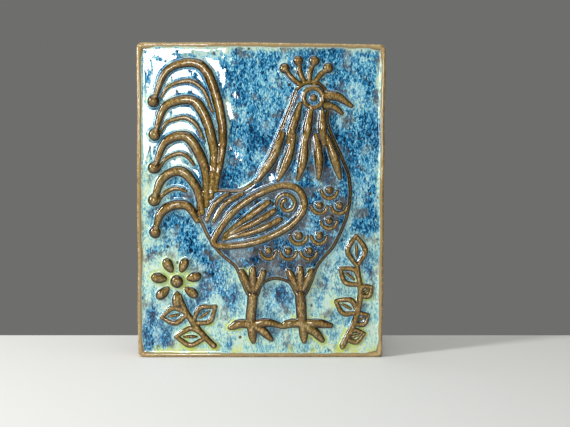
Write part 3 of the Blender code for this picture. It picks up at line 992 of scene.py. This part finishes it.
def broken_glaze(tree, colours, pool, worn, rim, grain, cloud):
    """The pools, with the brown body that shows over the crests behind a thin milky fringe."""
    border = add_node(
        tree, "ShaderNodeMapRange",
        {"Value": rim, "From Min": 0.0, "From Max": TAN_BORDER, "To Min": 1.0, "To Max": 0.0},
    )
    milk = add_node(
        tree, "ShaderNodeMix", {SHARE: border, UNDER: colours.fringe, OVER: colours.cream}, data_type="RGBA"
    )
    fringe = add_node(
        tree, "ShaderNodeMapRange",
        {"Value": worn, "From Min": 0.0, "From Max": 0.12, "To Max": 0.4},
        interpolation_type="SMOOTHSTEP",
    )
    milky = add_node(
        tree, "ShaderNodeMix", {SHARE: fringe, UNDER: pool, OVER: milk}, data_type="RGBA"
    )
    body = bare_crests(tree, colours, worn, border, grain, cloud)
    broken = add_node(
        tree, "ShaderNodeMapRange", {"Value": worn, "From Min": 0.14, "From Max": 0.26},
        interpolation_type="SMOOTHSTEP",
    )
    return add_node(
        tree, "ShaderNodeMix", {SHARE: broken, UNDER: milky, OVER: body}, data_type="RGBA"
    )


def reactive_glazed_stoneware(colours):
    """Pressed stoneware with a poured reactive glaze, fired to a glass.

    The glaze pools blue in the hollows, mottled by crystals that ran down the face, pales along
    every edge, and breaks to the brown body over the ridges, whose feet and sides carry painted
    shade and whose backs carry painted light. The back and the lower sides are bare.
    """
    material = bpy.data.materials.new("reactive_glazed_stoneware")
    material.use_nodes = True
    tree = material.node_tree
    shader = tree.nodes["Principled BSDF"]
    place = add_node(tree, "ShaderNodeTexCoord").outputs["Object"]
    runs = add_node(tree, "ShaderNodeMapping", {"Vector": place, "Scale": (1.0, 1.0, 0.5)})
    height = add_node(tree, "ShaderNodeSeparateXYZ", {0: place}).outputs["Z"]
    crest, shore, rim, figure, depth = (
        add_node(tree, "ShaderNodeAttribute", attribute_name=name).outputs["Fac"]
        for name in ("crest", "shore", "rim", "figure", "depth")
    )

    # Crystals that ran to twice their size down the face, clouds among them, and broad tones
    grain = add_node(
        tree, "ShaderNodeTexNoise",
        {"Vector": runs, "Scale": 1 / CRYSTAL, "Detail": 2.0, "Roughness": 0.6, "Distortion": 0.8},
    )
    cloud = add_node(tree, "ShaderNodeTexNoise", {"Vector": runs, "Scale": 1 / CLOUD, "Detail": 3.0})
    tone = add_node(tree, "ShaderNodeTexNoise", {"Vector": place, "Scale": 1 / TONE, "Detail": 2.0})

    pale = pool_paleness(tree, height, cloud, tone, shore, rim, figure)
    pool = mottled_pools(tree, colours, pale, grain, cloud, tone, figure)
    pool = iron_marks(tree, colours, pool, place, grain, figure)
    pool = ash_green(tree, colours, pool, height, grain, cloud, tone, shore)

    # The glaze wears thin on the crests, more so among the clouds and crystals; the same value places the
    # painted shade and light on the ridges
    worn = crest
    for field, weight in ((grain, 0.22), (cloud, 0.5)):
        worn = add_node(tree, "ShaderNodeMath", {0: field, 1: weight, 2: worn}, operation="MULTIPLY_ADD")
    worn = add_node(tree, "ShaderNodeMath", {0: worn, 1: 0.36}, operation="SUBTRACT")
    face = broken_glaze(tree, colours, pool, worn, rim, grain, cloud)

    # Bare clay with darker grog past a wavy glaze line
    grog = add_node(tree, "ShaderNodeTexNoise", {"Vector": place, "Scale": 1 / GROG, "Detail": 2.0})
    speckle = add_node(
        tree, "ShaderNodeMapRange", {"Value": grog, "From Min": 0.5, "From Max": 0.66, "To Max": 0.8}
    )
    clay = add_node(
        tree, "ShaderNodeMix", {SHARE: speckle, UNDER: colours.clay, OVER: colours.grog}, data_type="RGBA"
    )
    line = add_node(tree, "ShaderNodeMath", {0: cloud, 1: 0.6, 2: depth}, operation="MULTIPLY_ADD")
    bare = add_node(tree, "ShaderNodeMapRange", {"Value": line, "From Min": 0.82, "From Max": 0.88})
    skin = add_node(tree, "ShaderNodeMix", {SHARE: bare, UNDER: face, OVER: clay}, data_type="RGBA")

    # Glass is smooth, a little less where the glaze is thin, and the clay is rough
    gloss = add_node(
        tree, "ShaderNodeMapRange",
        {"Value": worn, "From Min": 0.3, "From Max": 0.7, "To Min": 0.03, "To Max": 0.055},
    )
    gloss = add_node(tree, "ShaderNodeMix", {SHARE: bare, NUMBER_A: gloss, NUMBER_B: 0.8})

    # Ripples in the glass, and the tooth of the bare clay
    ripple = add_node(tree, "ShaderNodeTexNoise", {"Vector": runs, "Scale": 1 / RIPPLE, "Detail": 1.0})
    bump = add_node(
        tree, "ShaderNodeBump", {"Height": ripple, "Distance": RIPPLE_HEIGHT, "Strength": 0.6}
    )
    tooth = add_node(tree, "ShaderNodeMath", {0: grog, 1: bare}, operation="MULTIPLY")
    bump = add_node(tree, "ShaderNodeBump", {"Height": tooth, "Distance": GROG_HEIGHT, "Normal": bump})

    for socket, source in (("Base Color", skin), ("Roughness", gloss), ("Normal", bump)):
        tree.links.new(first_output(source), shader.inputs[socket])
    shader.inputs["Metallic"].default_value = 0.0
    shader.inputs["IOR"].default_value = 1.56
    return material


def matt_painted_board(settings):
    """Matt painted board: even, pale and without a gleam."""
    material = bpy.data.materials.new("matt_painted_board")
    material.use_nodes = True
    shader = material.node_tree.nodes["Principled BSDF"]
    shader.inputs["Base Color"].default_value = settings.floor
    shader.inputs["Roughness"].default_value = 0.7
    return material


class PLAQUE_OT_model_plaque(bpy.types.Operator):
    """Model the pressed and glazed plaque with its relief and its back"""

    bl_idname = "plaque.model_plaque"
    bl_label = "Model Plaque"

    def execute(self, context):
        sizes = context.scene.plaque_sizes
        slab = flat_sheet(sizes)
        carry_edge(slab, sizes)
        sink_back(slab, sizes)
        model_relief(slab, sizes)
        stand_up(slab)
        select_only(slab)
        bpy.ops.object.shade_smooth_by_angle(angle=math.radians(SMOOTH_ANGLE))
        slab.data.materials.clear()
        slab.data.materials.append(reactive_glazed_stoneware(context.scene.glaze_colours))
        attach(slab, "root")
        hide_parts("plaque")
        return {"FINISHED"}


class PLAQUE_OT_set_stage(bpy.types.Operator):
    """Set the pale table, the soft window light and the camera"""

    bl_idname = "plaque.set_stage"
    bl_label = "Set Stage"

    def execute(self, context):
        settings = context.scene.plaque_stage
        sizes = context.scene.plaque_sizes
        deselect_all()
        middle = (0, (TABLE_BACK + TABLE_FRONT) / 2, -sizes.height / 2)
        bpy.ops.mesh.primitive_plane_add(size=1, location=middle)
        table = context.object
        table.name = "table"
        table.scale = (2 * TABLE_HALF_WIDTH, TABLE_BACK - TABLE_FRONT, 1)
        table.data.materials.append(matt_painted_board(settings))

        # Each light faces the plaque's middle
        for name, (place, size) in LIGHTS.items():
            light = bpy.data.lights.new(name, "AREA")
            light.shape = "RECTANGLE"
            light.size, light.size_y = size
            light.energy = getattr(settings, name)
            lamp = bpy.data.objects.new(name, light)
            lamp.location = place
            lamp.rotation_euler = (-Vector(place)).to_track_quat("-Z", "Y").to_euler()
            context.scene.collection.objects.link(lamp)

        world = bpy.data.worlds.new("plain_grey")
        world.use_nodes = True
        world.node_tree.nodes["Background"].inputs["Color"].default_value = settings.wall
        context.scene.world = world
        context.scene.view_settings.view_transform = "Standard"

        lens = bpy.data.cameras.new("camera")
        lens.lens = settings.lens
        camera = bpy.data.objects.new("camera", lens)
        camera.location = CAMERA_PLACE
        ahead = Euler((math.radians(90 + CAMERA_PITCH), 0, math.radians(-CAMERA_YAW))).to_quaternion()
        roll = Euler((0, 0, math.radians(-CAMERA_ROLL))).to_quaternion()
        camera.rotation_euler = (ahead @ roll).to_euler()
        context.scene.collection.objects.link(camera)
        context.scene.camera = camera
        return {"FINISHED"}


class PLAQUE_PT_panel(bpy.types.Panel):
    """Lists the plaque's sizes, colours and steps"""

    bl_label = "Glazed Wall Plaque"
    bl_space_type = "VIEW_3D"
    bl_region_type = "UI"
    bl_category = "Plaque"

    def draw(self, context):
        scene = context.scene
        for name, _ in GROUPS:
            group = getattr(scene, name)
            box = self.layout.box()
            for setting in group.__annotations__:
                box.prop(group, setting)
        self.layout.operator(PLAQUE_OT_model_plaque.bl_idname)
        self.layout.operator(PLAQUE_OT_set_stage.bl_idname)


GROUPS = (("plaque_sizes", PlaqueSizes), ("glaze_colours", GlazeColours), ("plaque_stage", StageSettings))
CLASSES = (
    *(group for _, group in GROUPS),
    PLAQUE_OT_model_plaque,
    PLAQUE_OT_set_stage,
    PLAQUE_PT_panel,
)


def register():
    """Registers the classes and hangs the settings on the scene."""
    for cls in CLASSES:
        bpy.utils.register_class(cls)
    for name, group in GROUPS:
        setattr(bpy.types.Scene, name, PointerProperty(type=group))


def unregister():
    """Takes the settings and the classes away again."""
    for name, _ in GROUPS:
        delattr(bpy.types.Scene, name)
    for cls in reversed(CLASSES):
        bpy.utils.unregister_class(cls)


def main():
    """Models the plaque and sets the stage."""
    register()
    bpy.ops.plaque.model_plaque()
    bpy.ops.plaque.set_stage()


if __name__ == "__main__":
    main()
